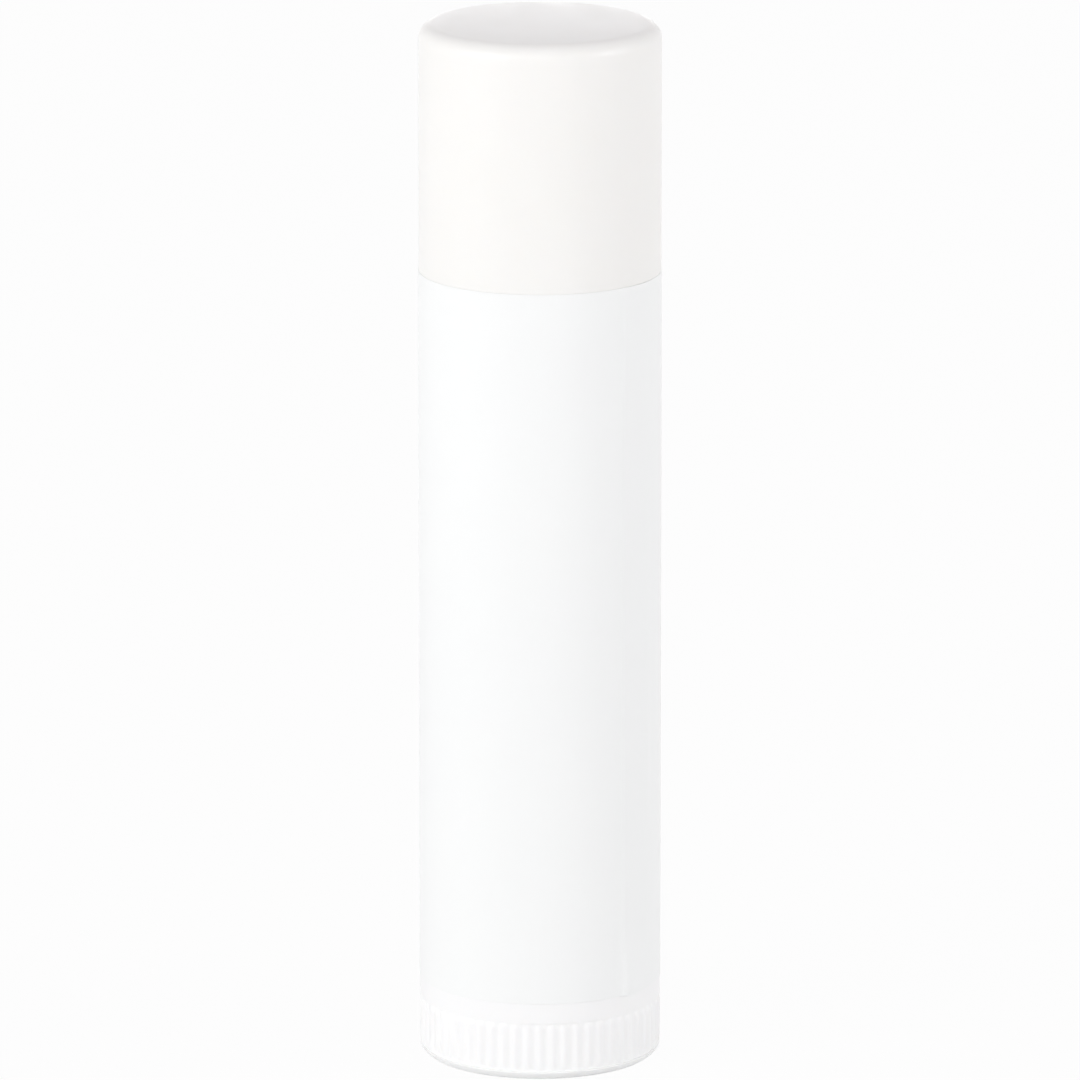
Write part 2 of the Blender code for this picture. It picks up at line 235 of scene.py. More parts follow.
# %% Finish a piece
def cut_away(piece, tools):
    """Cut tool bodies out of a piece with Boolean modifiers, and remove the tools."""
    leave_edit_mode()
    bpy.context.view_layer.objects.active = piece
    for tool in tools:
        cut = piece.modifiers.new(tool.name, "BOOLEAN")
        cut.operation = "DIFFERENCE"
        cut.object = tool
        cut.solver = "EXACT"
        bpy.ops.object.modifier_apply(modifier=tool.name)
        bpy.data.objects.remove(tool)
    bpy.ops.object.mode_set(mode="EDIT")


def finish_piece(piece, smooth_angle=30):
    """Point the faces outwards, leave edit mode and shade smooth, but for the sharp edges."""
    bpy.ops.mesh.select_all(action="SELECT")
    bpy.ops.mesh.normals_make_consistent(inside=False)
    if bmesh.from_edit_mesh(piece.data).calc_volume(signed=True) < 0:
        bpy.ops.mesh.flip_normals()
    bpy.ops.object.mode_set(mode="OBJECT")
    piece.select_set(True)
    bpy.ops.object.shade_smooth_by_angle(angle=math.radians(smooth_angle))
    print(piece.name, "has", len(piece.data.polygons), "faces")


# %% [markdown]
# ## The cap
#
# The real cap is one moulding in polypropylene: a straight cup with a wall of about 1 mm, a flat top that
# swells by a hair, and a rounded top edge. It could be spun from a profile, but starting from a cylinder and
# bevelling its rim is how it would be done by hand, and it keeps the wall perfectly straight.

# %% Raise the cup and crown its top
ROUND = 192
CAP_EDGE = 1.05 * MM
CAP_CROWN = 0.15 * MM
CROWN_RINGS = 8
CROWN_POWER = 3


def crown_top(shelf, radius, rise):
    """Swell a round flat top into a very low dome, one inset ring after another, flattest in its middle."""
    level = shelf
    for i in range(1, CROWN_RINGS):
        target = shelf + rise * (1 - (1 - i / CROWN_RINGS) ** CROWN_POWER)
        pick("FACE", lambda f: len(f.verts) == ROUND and f.normal.z > FACING
             and at_height(f, level, FINE_TOUCH))
        bpy.ops.mesh.inset(thickness=radius / CROWN_RINGS)
        lift(target - level)
        level = target
    bpy.ops.mesh.poke(offset=0)
    pick("VERT", lambda v: at_radius(v, 0) and v.co.z > level - TOUCH)
    lift(shelf + rise - level)


cap_shelf = cap_high - CAP_CROWN
cap = new_cylinder("moulded_cap", outer_radius, cap_rim, cap_shelf, ROUND)
pick("EDGE", lambda e: at_height(e, cap_shelf))
round_edges(CAP_EDGE, segments=12)
crown_top(cap_shelf, outer_radius - CAP_EDGE, CAP_CROWN)

# %% Hollow the cap
CAP_WALL = 0.95 * MM
CAP_ROOF = 1.3 * MM
CAP_INNER_EDGE = 0.5 * MM
CAP_RIM_EDGE = 0.006 * MM
cap_bore = outer_radius - CAP_WALL
cap_ceiling = cap_high - CAP_ROOF

pick("FACE", lambda f: at_height(f, cap_rim))
bpy.ops.mesh.inset(thickness=CAP_WALL)
extrude_up(cap_ceiling - cap_rim)
pick("EDGE", lambda e: on_ring(e, cap_bore, cap_ceiling))
round_edges(CAP_INNER_EDGE, segments=5)
pick("EDGE", lambda e: on_ring(e, cap_bore, cap_rim) or on_ring(e, outer_radius, cap_rim))
round_edges(CAP_RIM_EDGE, segments=1)

# %% Cut the snap groove inside the cap
NECK_BEAD_LIFT = 4.0 * MM
NECK_BEAD_HEIGHT = 1.2 * MM
SNAP_CLEARANCE = 0.2 * MM
GROOVE_DEPTH = 0.25 * MM
bead_low = label_high + NECK_BEAD_LIFT
groove_low = bead_low - SNAP_CLEARANCE
groove_high = bead_low + NECK_BEAD_HEIGHT + SNAP_CLEARANCE

for z in (groove_low, groove_low + GROOVE_DEPTH, groove_high - GROOVE_DEPTH, groove_high):
    cut_ring(z, lambda f: at_radius(f, cap_bore))
pick("VERT", lambda v: at_radius(v, cap_bore) and groove_low + TOUCH < v.co.z < groove_high - TOUCH)
widen((cap_bore + GROOVE_DEPTH) / cap_bore)
finish_piece(cap)
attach(cap, "cap")
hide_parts("cap")


# %% [markdown]
# ## The label
#
# The label is a thin film wrapped once round the barrel, whose end laps over its start. The lap is glued down
# flat for most of its height, and near the foot a little air is caught under its free edge, which shows as a
# soft pale streak. The film could be a curve with a thickness, but a wall cut into many upright columns lets
# the lap and the bubble be pushed out a column at a time, while the inner side stays on the barrel.

# %% Wrap the label
LABEL_COLUMNS = 480
GLUE = 0.02 * MM
FILM = 0.04 * MM
LAP_START = 313.5
LAP_WIDTH = 18.75
LAP_RAMP = 6
COLUMN = 360 / LABEL_COLUMNS

label = new_cylinder("wrapped_label", label_radius, tube_foot, shoulder, LABEL_COLUMNS, "NOTHING")
leave_edit_mode()
bpy.context.view_layer.objects.active = label
film_body = label.modifiers.new("film", "SOLIDIFY")
film_body.thickness = label_radius - tube_radius - GLUE
film_body.offset = -1
bpy.ops.object.modifier_apply(modifier="film")
bpy.ops.object.mode_set(mode="EDIT")


def on_column(v, column):
    """True for an outer vertex that lies a number of columns past the free edge of the lap."""
    outside = math.hypot(v.co.x, v.co.y) > label_radius - TOUCH
    return outside and round((turn_of(v) - LAP_START) / COLUMN - column) % LABEL_COLUMNS == 0


lap_columns = round(LAP_WIDTH / COLUMN)
for column in range(lap_columns + LAP_RAMP):
    pick("VERT", lambda v: on_column(v, column))
    share = min(1, (lap_columns + LAP_RAMP - column) / LAP_RAMP)
    widen((label_radius + FILM * share) / label_radius)
print("the lap is", lap_columns, "columns wide")

# %% Raise an air bubble under the free edge near the foot
STREAK_HEIGHT = 12.0 * MM
BUBBLE_HEIGHT = 4.5 * MM
BUBBLE_RISE = 0.24 * MM
STREAK_SHARE = 0.25
BUBBLE_ROWS = 24
ROW_CROWDING = 1.5
CREST_COLUMN = 4
NEAR_COLUMNS = 9
FAR_COLUMNS = 20

rows = [tube_foot + STREAK_HEIGHT * (i / BUBBLE_ROWS) ** ROW_CROWDING for i in range(BUBBLE_ROWS + 1)]
for z in rows[1:]:
    cut_ring(z, lambda f: middle(f).xy.length > label_radius - TOUCH)
for z in rows[:-1]:
    above = z - tube_foot
    swell = max(1 - (above / BUBBLE_HEIGHT) ** 2, STREAK_SHARE * (1 - above / STREAK_HEIGHT))
    for past in range(1 - NEAR_COLUMNS, FAR_COLUMNS):
        side = 1 + past / NEAR_COLUMNS if past < 0 else 1 - past / FAR_COLUMNS
        rise = BUBBLE_RISE * swell * side ** 2 * (3 - 2 * side)
        pick("VERT", lambda v: at_height(v, z, TOUCH / 2) and on_column(v, CREST_COLUMN + past))
        widen(1 + rise / label_radius)
finish_piece(label)
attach(label, "barrel")
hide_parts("label")


# %% [markdown]
# ## The base knob
#
# The wheel is turned by a fingertip, so sixty upright ribs with rounded ends stand in a shallow band round
# it, with a smooth collar above and a rounded foot below. They are low and soft, like waves, so that the
# moulding slides out of its mould. Sixty copies of one rib could be joined on, but then they would only
# touch the wheel. Here the wheel's own wall is cut into eight columns for each rib and a row of rings, and
# each ring and column is drawn in by what the rib's rounded form leaves there.

# %% Turn the wheel
RIBS = 60
COLUMNS_PER_RIB = 8
KNOB_FOOT_EDGE = 0.50 * MM
FOOT_EDGE_SHAPE = 0.32
KNOB_TOP_EDGE = 0.015 * MM

knob = new_cylinder("ribbed_knob", outer_radius, stick_low, knob_high, RIBS * COLUMNS_PER_RIB)
pick("EDGE", lambda e: at_height(e, stick_low))
round_edges(KNOB_FOOT_EDGE, segments=5, shape=FOOT_EDGE_SHAPE)
pick("EDGE", lambda e: at_height(e, knob_high))
round_edges(KNOB_TOP_EDGE, segments=1)

# %% Draw in the band between the ribs
RIB_LOW = 0.56 * MM
RIB_HIGH = 3.90 * MM
RIB_DEPTH = 0.13 * MM
RIB_END = 0.50 * MM
END_SHARES = (0.0, 0.08, 0.3, 0.6, 1.0)
HOLD = 0.04 * MM
pitch = 2 * math.pi * outer_radius / RIBS
rib_half_width = pitch / 2

rings = [stick_low + RIB_LOW + RIB_END * s for s in END_SHARES]
rings += [stick_low + (RIB_LOW + RIB_HIGH) / 2]
rings += [stick_low + RIB_HIGH - RIB_END * s for s in reversed(END_SHARES)]
for z in [rings[0] - HOLD] + rings + [rings[-1] + HOLD]:
    cut_ring(z, lambda f: at_radius(f, outer_radius) and abs(f.normal.z) < FACING)


def rib_fullness(offset, z):
    """1 on the crest of a rib, easing to 0 in the valley beside it and past its round ends."""
    past_end = max(RIB_LOW + rib_half_width - z, z - RIB_HIGH + rib_half_width, 0)
    outward = min(1, math.hypot(offset, past_end) / rib_half_width)
    return math.cos(outward * math.pi / 2) ** 2


def rib_column(v):
    """How many columns a vertex lies from the middle of the nearest rib."""
    place = turn_of(v) * RIBS / 360 % 1
    return round(min(place, 1 - place) * COLUMNS_PER_RIB)


for z in rings[1:-1]:
    for column in range(COLUMNS_PER_RIB // 2 + 1):
        drawn_in = RIB_DEPTH * (1 - rib_fullness(column / COLUMNS_PER_RIB * pitch, z - stick_low))
        pick("VERT", lambda v: at_height(v, z) and at_radius(v, outer_radius) and rib_column(v) == column)
        widen((outer_radius - drawn_in) / outer_radius)
print("ribs every %.2f mm" % (pitch / MM))

# %% Dish the foot of the knob
DISH_RADIUS = 5.4 * MM
DISH_DEPTH = 0.4 * MM
GATE_RADIUS = 0.8 * MM
GATE_RISE = 0.12 * MM

pick("FACE", lambda f: at_height(f, stick_low))
bpy.ops.mesh.inset(thickness=outer_radius - KNOB_FOOT_EDGE - DISH_RADIUS)
bpy.ops.mesh.inset(thickness=DISH_DEPTH)
lift(DISH_DEPTH)
bpy.ops.mesh.inset(thickness=DISH_RADIUS - DISH_DEPTH - GATE_RADIUS)
bpy.ops.mesh.inset(thickness=GATE_RISE)
lift(-GATE_RISE)

# %% Raise the hub with its snap bead
HUB_RADIUS = 5.75 * MM
HUB_BEAD_RISE = 0.5 * MM
HUB_BEAD_LIFT = 1.1 * MM
ELEVATOR_GAP = 0.3 * MM
hub_high = elevator_low - ELEVATOR_GAP
bead_factor = (HUB_RADIUS + HUB_BEAD_RISE) / HUB_RADIUS
hub_bead_low = label_low - (cap_low - label_high) + HUB_BEAD_LIFT

pick("FACE", lambda f: at_height(f, knob_high) and len(f.verts) == RIBS * COLUMNS_PER_RIB)
bpy.ops.mesh.inset(thickness=outer_radius - KNOB_TOP_EDGE - HUB_RADIUS)
extrude_up(hub_bead_low - knob_high)
extrude_up(HUB_BEAD_RISE / 2)
widen(bead_factor)
extrude_up(HUB_BEAD_RISE / 2)
extrude_up(HUB_BEAD_RISE)
widen(1 / bead_factor)
extrude_up(hub_high - hub_bead_low - 2 * HUB_BEAD_RISE)
finish_piece(knob)
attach(knob, "knob")
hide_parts("base_knob")


# %% [markdown]
# ## The feed screw
#
# The screw is moulded with the knob and runs up the middle of the balm. It has one start of thread, and it is
# left-handed, so that a turn that looks natural to the hand winds the balm up. A thread is a cross-section
# that turns as it climbs, which is what the Screw modifier does. The same rod, grown by the running
# clearance, later cuts the thread of the nut.

# %% Twist a threaded rod
SCREW_CORE = 1.4 * MM
SCREW_CREST = 2.2 * MM
LEAD = 4.0 * MM
CREST_WIDTH = 0.6 * MM
ROOT_WIDTH = 1.4 * MM
SECTION_CORNERS = 40
RINGS_PER_LEAD = 24


def threaded_rod(name, low, high, grow):
    """A rod with one left-handed start of thread, whose crest faces +X at the height of the hub's top."""
    core = SCREW_CORE + grow
    half_crest = (CREST_WIDTH / 2 + grow) * 360 / LEAD
    half_root = (ROOT_WIDTH / 2 + grow) * 360 / LEAD
    crest_turn = 360 * (hub_high - low) / LEAD
    rod = new_cylinder(name, core, low, high, SECTION_CORNERS, "NOTHING")
    pick("VERT", lambda v: not at_height(v, low))
    bpy.ops.mesh.delete(type="VERT")
    for corner in range(SECTION_CORNERS):
        turn = corner * 360 / SECTION_CORNERS
        rise = min(1, (half_root - apart(turn, crest_turn)) / (half_root - half_crest))
        if rise > 0:
            pick("VERT", lambda v: apart(turn_of(v), turn) < SAME_TURN)
            widen(1 + (SCREW_CREST - SCREW_CORE) * rise / core)
    leave_edit_mode()
    bpy.context.view_layer.objects.active = rod
    thread = rod.modifiers.new("thread", "SCREW")
    thread.axis = "Z"
    thread.angle = -2 * math.pi * (high - low) / LEAD
    thread.screw_offset = high - low
    thread.steps = round((high - low) / LEAD * RINGS_PER_LEAD)
    thread.render_steps = thread.steps
    bpy.ops.object.modifier_apply(modifier="thread")
    bpy.ops.object.mode_set(mode="EDIT")
    return rod


def close_end(z):
    """Fill the open ring of edges at one height."""
    pick("EDGE", lambda e: at_height(e, z) and len(e.link_faces) < 2)
    bpy.ops.mesh.edge_face_add()


# %% Make the feed screw
SCREW_TIP = 0.4 * MM
TIP_TAPER = 0.6
SUNK = 0.3 * MM

screw = threaded_rod("feed_screw", hub_high - SUNK, screw_top - SCREW_TIP, 0)
close_end(hub_high - SUNK)
pick("EDGE", lambda e: at_height(e, screw_top - SCREW_TIP))
bpy.ops.mesh.extrude_edges_move(TRANSFORM_OT_translate={"value": (0, 0, SCREW_TIP)})
widen(TIP_TAPER)
bpy.ops.mesh.edge_face_add()
finish_piece(screw, smooth_angle=40)
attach(screw, "knob")


# %% [markdown]
# ## The elevator
#
# The elevator rides on the screw: a shallow cup with four prongs that grip the foot of the balm, and a
# threaded nut in the middle. Notches in its rim run on the barrel's guide ribs, so it can't turn with the
# screw and has to climb. The cup is inset and extruded, and tool bodies then cut the thread, the notches
# and the slots.

# %% Form the cup and the nut
CUP_WALL = 1.0 * MM
CUP_FLOOR = 1.0 * MM
CUP_DEPTH = 4.8 * MM
CUP_EDGE = 0.1 * MM
NUT_WALL = 0.6 * MM
THREAD_CLEARANCE = 0.25 * MM
nut_radius = SCREW_CREST + THREAD_CLEARANCE + NUT_WALL
cup_bore = cup_radius - CUP_WALL
cup_floor = elevator_low + CUP_FLOOR
cup_rim = cup_floor + CUP_DEPTH

elevator = new_cylinder("balm_elevator", cup_radius, elevator_low, cup_rim, ROUND)
pick("FACE", lambda f: at_height(f, cup_rim))
bpy.ops.mesh.inset(thickness=CUP_WALL)
bpy.ops.mesh.inset(thickness=cup_bore - nut_radius)
extrude_up(nut_top - cup_rim)
pick("FACE", lambda f: at_height(f, cup_rim) and middle(f).xy.length < cup_bore)
extrude_up(-CUP_DEPTH)
pick("EDGE", lambda e: on_ring(e, cup_radius, elevator_low, cup_rim))
round_edges(CUP_EDGE, segments=2)

# %% Cut the thread, the notches and the slots
BORE_RADIUS = 6.0 * MM
OVERRUN = 0.6 * MM
GUIDE_RIBS = 4
GUIDE_RIB_WIDTH = 0.9 * MM
GUIDE_RIB_RISE = 0.5 * MM
NOTCH_CLEARANCE = 0.15 * MM
SLOT_WIDTH = 2.2 * MM


def guide_notches(name, low, high):
    """Tool bodies that leave room for the barrel's guide ribs."""
    inner = BORE_RADIUS - GUIDE_RIB_RISE - NOTCH_CLEARANCE
    outer = BORE_RADIUS + OVERRUN
    width = GUIDE_RIB_WIDTH + 2 * NOTCH_CLEARANCE
    return [new_spoke(name, inner, outer, width, low - OVERRUN, high + OVERRUN, 360 * i / GUIDE_RIBS)
            for i in range(GUIDE_RIBS)]


nut_thread = threaded_rod("nut_thread", elevator_low - OVERRUN, nut_top + OVERRUN, THREAD_CLEARANCE)
close_end(elevator_low - OVERRUN)
close_end(nut_top + OVERRUN)
bpy.ops.mesh.select_all(action="SELECT")
bpy.ops.mesh.normals_make_consistent(inside=False)
notches = guide_notches("rim_notch", elevator_low, cup_rim)
slots = [new_spoke("prong_slot", (nut_radius + cup_bore) / 2, cup_radius + OVERRUN, SLOT_WIDTH,
                   cup_floor + CUP_FLOOR, cup_rim + OVERRUN, 360 * (i + 0.5) / GUIDE_RIBS)
         for i in range(GUIDE_RIBS)]
cut_away(elevator, [nut_thread] + notches + slots)
finish_piece(elevator)
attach(elevator, "elevator")
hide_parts("elevator")


# %% [markdown]
# ## The barrel
#
# Under the label is a thick tube whose upper end steps down to a narrow neck. The neck shows once the cap is
# off, with its low snap bead. Inside, four guide ribs keep the elevator from turning, and a groove at the
# foot takes the bead of the knob's hub.

# %% Extrude the tube and its neck
NECK_RADIUS = 6.7 * MM
NECK_BEAD_RISE = 0.15 * MM
TUBE_EDGE = 0.08 * MM
NECK_EDGE = 0.18 * MM

barrel = new_cylinder("barrel_tube", tube_radius, tube_foot, shoulder, ROUND)
pick("FACE", lambda f: at_height(f, shoulder))
bpy.ops.mesh.inset(thickness=tube_radius - NECK_RADIUS)
extrude_up(bead_low - shoulder)
extrude_up(NECK_BEAD_RISE)
widen((NECK_RADIUS + NECK_BEAD_RISE) / NECK_RADIUS)
extrude_up(NECK_BEAD_HEIGHT - 2 * NECK_BEAD_RISE)
extrude_up(NECK_BEAD_RISE)
widen(NECK_RADIUS / (NECK_RADIUS + NECK_BEAD_RISE))
extrude_up(neck_top - bead_low - NECK_BEAD_HEIGHT)
bpy.ops.mesh.inset(thickness=NECK_RADIUS - BORE_RADIUS)
pick("FACE", lambda f: at_height(f, tube_foot))
bpy.ops.mesh.inset(thickness=tube_radius - BORE_RADIUS)
pick("FACE", lambda f: len(f.verts) == ROUND)
bpy.ops.mesh.delete(type="FACE")
pick("EDGE", lambda e: on_ring(e, BORE_RADIUS, tube_foot, neck_top))
bpy.ops.mesh.bridge_edge_loops()

# %% Raise the guide ribs in the bore
RIB_END_GAP = 1.5 * MM
rib_turn = math.degrees(GUIDE_RIB_WIDTH / BORE_RADIUS)

for z in (elevator_low, neck_top - RIB_END_GAP):
    cut_ring(z, lambda f: at_radius(f, BORE_RADIUS))


def on_guide_rib(f):
    """True for the bore's faces where a guide rib stands."""
    beside = min(apart(turn_of(f), 360 * i / GUIDE_RIBS) for i in range(GUIDE_RIBS))
    between_ends = elevator_low < middle(f).z < neck_top - RIB_END_GAP
    return at_radius(f, BORE_RADIUS) and between_ends and beside < rib_turn / 2


pick("FACE", on_guide_rib)
extrude_up(0)
widen((BORE_RADIUS - GUIDE_RIB_RISE) / BORE_RADIUS)

# %% Cut the groove for the hub's bead and round the ends
HUB_CLEARANCE = 0.25 * MM
hub_groove_low = hub_bead_low - HUB_CLEARANCE
hub_groove_high = hub_bead_low + 2 * HUB_BEAD_RISE + HUB_CLEARANCE

for z in (hub_groove_low, hub_groove_high):
    cut_ring(z, lambda f: at_radius(f, BORE_RADIUS))
pick("FACE", lambda f: at_radius(f, BORE_RADIUS) and hub_groove_low < middle(f).z < hub_groove_high)
extrude_up(0)
widen((HUB_RADIUS + HUB_BEAD_RISE + HUB_CLEARANCE) / BORE_RADIUS)
pick("EDGE", lambda e: on_ring(e, tube_radius, tube_foot, shoulder))
round_edges(TUBE_EDGE, segments=2)
pick("EDGE", lambda e: on_ring(e, NECK_RADIUS, neck_top) or on_ring(e, BORE_RADIUS, neck_top))
round_edges(NECK_EDGE, segments=3)
finish_piece(barrel)
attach(barrel, "barrel")
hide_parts("barrel")


# %% [markdown]
# ## The balm
#
# The wax was poured into the barrel, so it carries the prints of the guide ribs as four grooves, and its top
# set with a soft crown. Its foot fills the elevator's cup, and a bore leaves room for the nut and the screw.

# %% Pour the balm
BALM_EDGE = 1.2 * MM
BALM_CROWN = 0.5 * MM
SEAT_GAP = 0.12 * MM
SCREW_ROOM = 0.3 * MM
balm_foot = cup_rim + SEAT_GAP
balm_shelf = balm_high - BALM_CROWN
plug_radius = cup_bore - SEAT_GAP
nut_room = nut_radius + SEAT_GAP
screw_room = SCREW_CREST + SCREW_ROOM

balm = new_cylinder("poured_balm", balm_radius, balm_foot, balm_shelf, ROUND)
pick("FACE", lambda f: at_height(f, balm_foot))
bpy.ops.mesh.inset(thickness=balm_radius - plug_radius)
extrude_up(balm_low - balm_foot)
bpy.ops.mesh.inset(thickness=plug_radius - nut_room)
extrude_up(nut_top + SEAT_GAP - balm_low)
bpy.ops.mesh.inset(thickness=nut_room - screw_room)
extrude_up(screw_top + SCREW_ROOM - nut_top - SEAT_GAP)
pick("EDGE", lambda e: on_ring(e, balm_radius, balm_shelf))
round_edges(BALM_EDGE, segments=8)
crown_top(balm_shelf, balm_radius - BALM_EDGE, BALM_CROWN)
cut_away(balm, guide_notches("rib_print", balm_foot, balm_high))
finish_piece(balm)
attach(balm, "elevator")
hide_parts("balm_stick")


# %% [markdown]
# ## Colours and nodes
#
# Colours are written as sRGB hex values, which is how a paint or plastic chip is usually given, and one
# function turns them into the linear values that the shaders work in. Another adds a node with its settings
# and links, so that a material reads as a list of steps.

# %% Helpers for materials
MIX_FACTOR = 0
MIX_FIRST = 6
MIX_SECOND = 7
MIX_RESULT = 2


def linear(hex_colour):
    """An sRGB hex colour as linear red, green, blue and alpha."""
    channels = [int(hex_colour[i:i + 2], 16) / 255 for i in (1, 3, 5)]
    return tuple(c / 12.92 if c <= 0.04045 else ((c + 0.055) / 1.055) ** 2.4 for c in channels) + (1.0,)


def add_node(tree, kind, inputs=None, **settings):
    """Add a node with its settings; an input is given a value, or a socket that it is linked to."""
    node = tree.nodes.new(kind)
    for name, value in settings.items():
        setattr(node, name, value)
    for name, value in (inputs or {}).items():
        if isinstance(value, bpy.types.NodeSocket):
            tree.links.new(value, node.inputs[name])
        else:
            node.inputs[name].default_value = value
    return node


def new_material(name, **shader_values):
    """A material whose Principled shader has plain values on its sockets."""
    material = bpy.data.materials.new(name)
    material.use_nodes = True
    tree = material.node_tree
    shader = tree.nodes["Principled BSDF"]
    for socket, value in shader_values.items():
        shader.inputs[socket.replace("_", " ")].default_value = value
    return material, tree, shader


def noise(tree, place, size, detail):
    """Noise whose blotches are about one size across, in metres."""
    return add_node(tree, "ShaderNodeTexNoise", {"Vector": place, "Scale": 1 / size, "Detail": detail})


def between(tree, factor, first, second):
    """A colour that drifts between two hex colours. The Mix node's colour sockets go by number."""
    colours = {MIX_FACTOR: factor, MIX_FIRST: linear(first), MIX_SECOND: linear(second)}
    return add_node(tree, "ShaderNodeMix", colours, data_type="RGBA").outputs[MIX_RESULT]


def give(piece, material):
    """Put one material on a piece, in place of what it had."""
    piece.data.materials.clear()
    piece.data.materials.append(material)


# %% [markdown]
# ## Moulded polypropylene
#
# The cap, the knob and the tube are white polypropylene, injection-moulded against lightly spark-eroded
# steel. To the eye that is an even, milky white with a satin sheen: the surface lets a little light in, its
# gloss varies faintly where fingers have been, and its grain is too fine to see from a step away. The grain
# here is drawn at a quarter of a millimetre, coarser than the real one, so that it shows in a close view.

# %% Make the white plastic
GRAIN = 0.25 * MM
GRAIN_DEPTH = 0.0015 * MM
GLOSS_PATCH = 1.6 * MM
GLOSS_SWING = 0.04
RUB_LOW = 0.3
RUB_HIGH = 0.7
COLOUR_DRIFT = 9 * MM
LIGHT_DEPTH = 0.5 * MM
LIGHT_SHARE = 0.08


def moulded_plastic(name, light, shade, roughness, grain_depth=GRAIN_DEPTH, light_share=LIGHT_SHARE):
    """Injection-moulded polypropylene in two nearly equal tones."""
    material, tree, shader = new_material(
        name, IOR=1.49, Metallic=0.0, Subsurface_Weight=light_share, Subsurface_Scale=LIGHT_DEPTH,
        Subsurface_Radius=(1.0, 0.9, 0.8))
    place = add_node(tree, "ShaderNodeTexCoord").outputs["Object"]
    drift = noise(tree, place, COLOUR_DRIFT, detail=2.0)
    tree.links.new(between(tree, drift.outputs["Fac"], light, shade), shader.inputs["Base Color"])
    rub = noise(tree, place, GLOSS_PATCH, detail=3.0)
    gloss = add_node(tree, "ShaderNodeMapRange", {
        "Value": rub.outputs["Fac"], "From Min": RUB_LOW, "From Max": RUB_HIGH,
        "To Min": roughness - GLOSS_SWING, "To Max": roughness + GLOSS_SWING})
    tree.links.new(gloss.outputs["Result"], shader.inputs["Roughness"])
    pits = noise(tree, place, GRAIN, detail=2.0)
    bump = add_node(tree, "ShaderNodeBump", {"Height": pits.outputs["Fac"], "Distance": grain_depth})
    tree.links.new(bump.outputs["Normal"], shader.inputs["Normal"])
    return material


cap_white = moulded_plastic("moulded_white_polypropylene_cap", "#F6F7F3", "#F4F5F0", roughness=0.32)
knob_white = moulded_plastic("moulded_white_polypropylene_knob", "#F9FBF9", "#F8FAF8", roughness=0.38)
tube_white = moulded_plastic("moulded_white_polypropylene_tube", "#F6F8F6", "#F4F6F4", roughness=0.38)
give(cap, cap_white)
give(knob, knob_white)
give(screw, knob_white)
give(barrel, tube_white)


# %% [markdown]
# ## Natural polypropylene
#
# The elevator is moulded without pigment. Natural polypropylene is a milky grey-white that takes light deeper
# than the white plastic does, so its subsurface share is larger and its colour a little darker.

# %% Make the natural plastic
NATURAL_GRAIN_DEPTH = 0.0020 * MM
NATURAL_LIGHT_SHARE = 0.3

natural = moulded_plastic(
    "moulded_natural_polypropylene", "#E9EBE8", "#E3E6E3", roughness=0.42,
    grain_depth=NATURAL_GRAIN_DEPTH, light_share=NATURAL_LIGHT_SHARE)
give(elevator, natural)


# %% [markdown]
# ## Label film
#
# The label is white coated polypropylene film. It is a shade cooler and smoother than the mouldings. Wrapped
# film is never quite even: it pulls into long upright waves a few thousandths of a millimetre deep, which
# only show as a slight wander in its sheen, and its coating has a very fine tooth.

# %% Make the label film
FILM_DRIFT = 14 * MM
WAVE_WIDTH = 5 * MM
WAVE_STRETCH = 0.25
WAVE_DEPTH = 0.004 * MM
TOOTH = 0.4 * MM
TOOTH_DEPTH = 0.0010 * MM

film_white, film, film_shader = new_material("coated_white_label_film", IOR=1.5, Metallic=0.0, Roughness=0.34)
film_place = add_node(film, "ShaderNodeTexCoord").outputs["Object"]
film_drift = noise(film, film_place, FILM_DRIFT, detail=2.0)
film_colour = between(film, film_drift.outputs["Fac"], "#F7FAF7", "#F5F8F6")
film.links.new(film_colour, film_shader.inputs["Base Color"])
upright = add_node(film, "ShaderNodeMapping", {"Vector": film_place, "Scale": (1, 1, WAVE_STRETCH)})
waves = noise(film, upright.outputs["Vector"], WAVE_WIDTH, detail=1.0)
tooth = noise(film, film_place, TOOTH, detail=3.0)
wave_bump = add_node(film, "ShaderNodeBump", {"Height": waves.outputs["Fac"], "Distance": WAVE_DEPTH})
film_bump = add_node(film, "ShaderNodeBump", {
    "Height": tooth.outputs["Fac"], "Distance": TOOTH_DEPTH, "Normal": wave_bump.outputs["Normal"]})
film.links.new(film_bump.outputs["Normal"], film_shader.inputs["Normal"])
give(label, film_white)


# %% [markdown]
# ## Beeswax balm
#
# The balm is beeswax and oils, poured warm. It is pale yellow, cloudy and soft to light, so part of the light
# goes in and comes out again nearby. Its skin set with a faint orange-peel and a dull sheen.

# %% Make the wax
WAX_LIGHT_DEPTH = 1.2 * MM
CLOUD = 3 * MM
SKIN = 0.8 * MM
SKIN_DEPTH = 0.010 * MM

wax, wax_tree, wax_shader = new_material(
    "poured_beeswax_balm", IOR=1.44, Metallic=0.0, Roughness=0.45, Subsurface_Weight=0.25,
    Subsurface_Radius=(1.0, 0.7, 0.4), Subsurface_Scale=WAX_LIGHT_DEPTH)
wax_place = add_node(wax_tree, "ShaderNodeTexCoord").outputs["Object"]
cloud = noise(wax_tree, wax_place, CLOUD, detail=4.0)
wax_colour = between(wax_tree, cloud.outputs["Fac"], "#F3E6C4", "#EBDAB0")
wax_tree.links.new(wax_colour, wax_shader.inputs["Base Color"])
skin = noise(wax_tree, wax_place, SKIN, detail=4.0)
wax_bump = add_node(wax_tree, "ShaderNodeBump", {"Height": skin.outputs["Fac"], "Distance": SKIN_DEPTH})
wax_tree.links.new(wax_bump.outputs["Normal"], wax_shader.inputs["Normal"])
give(balm, wax)


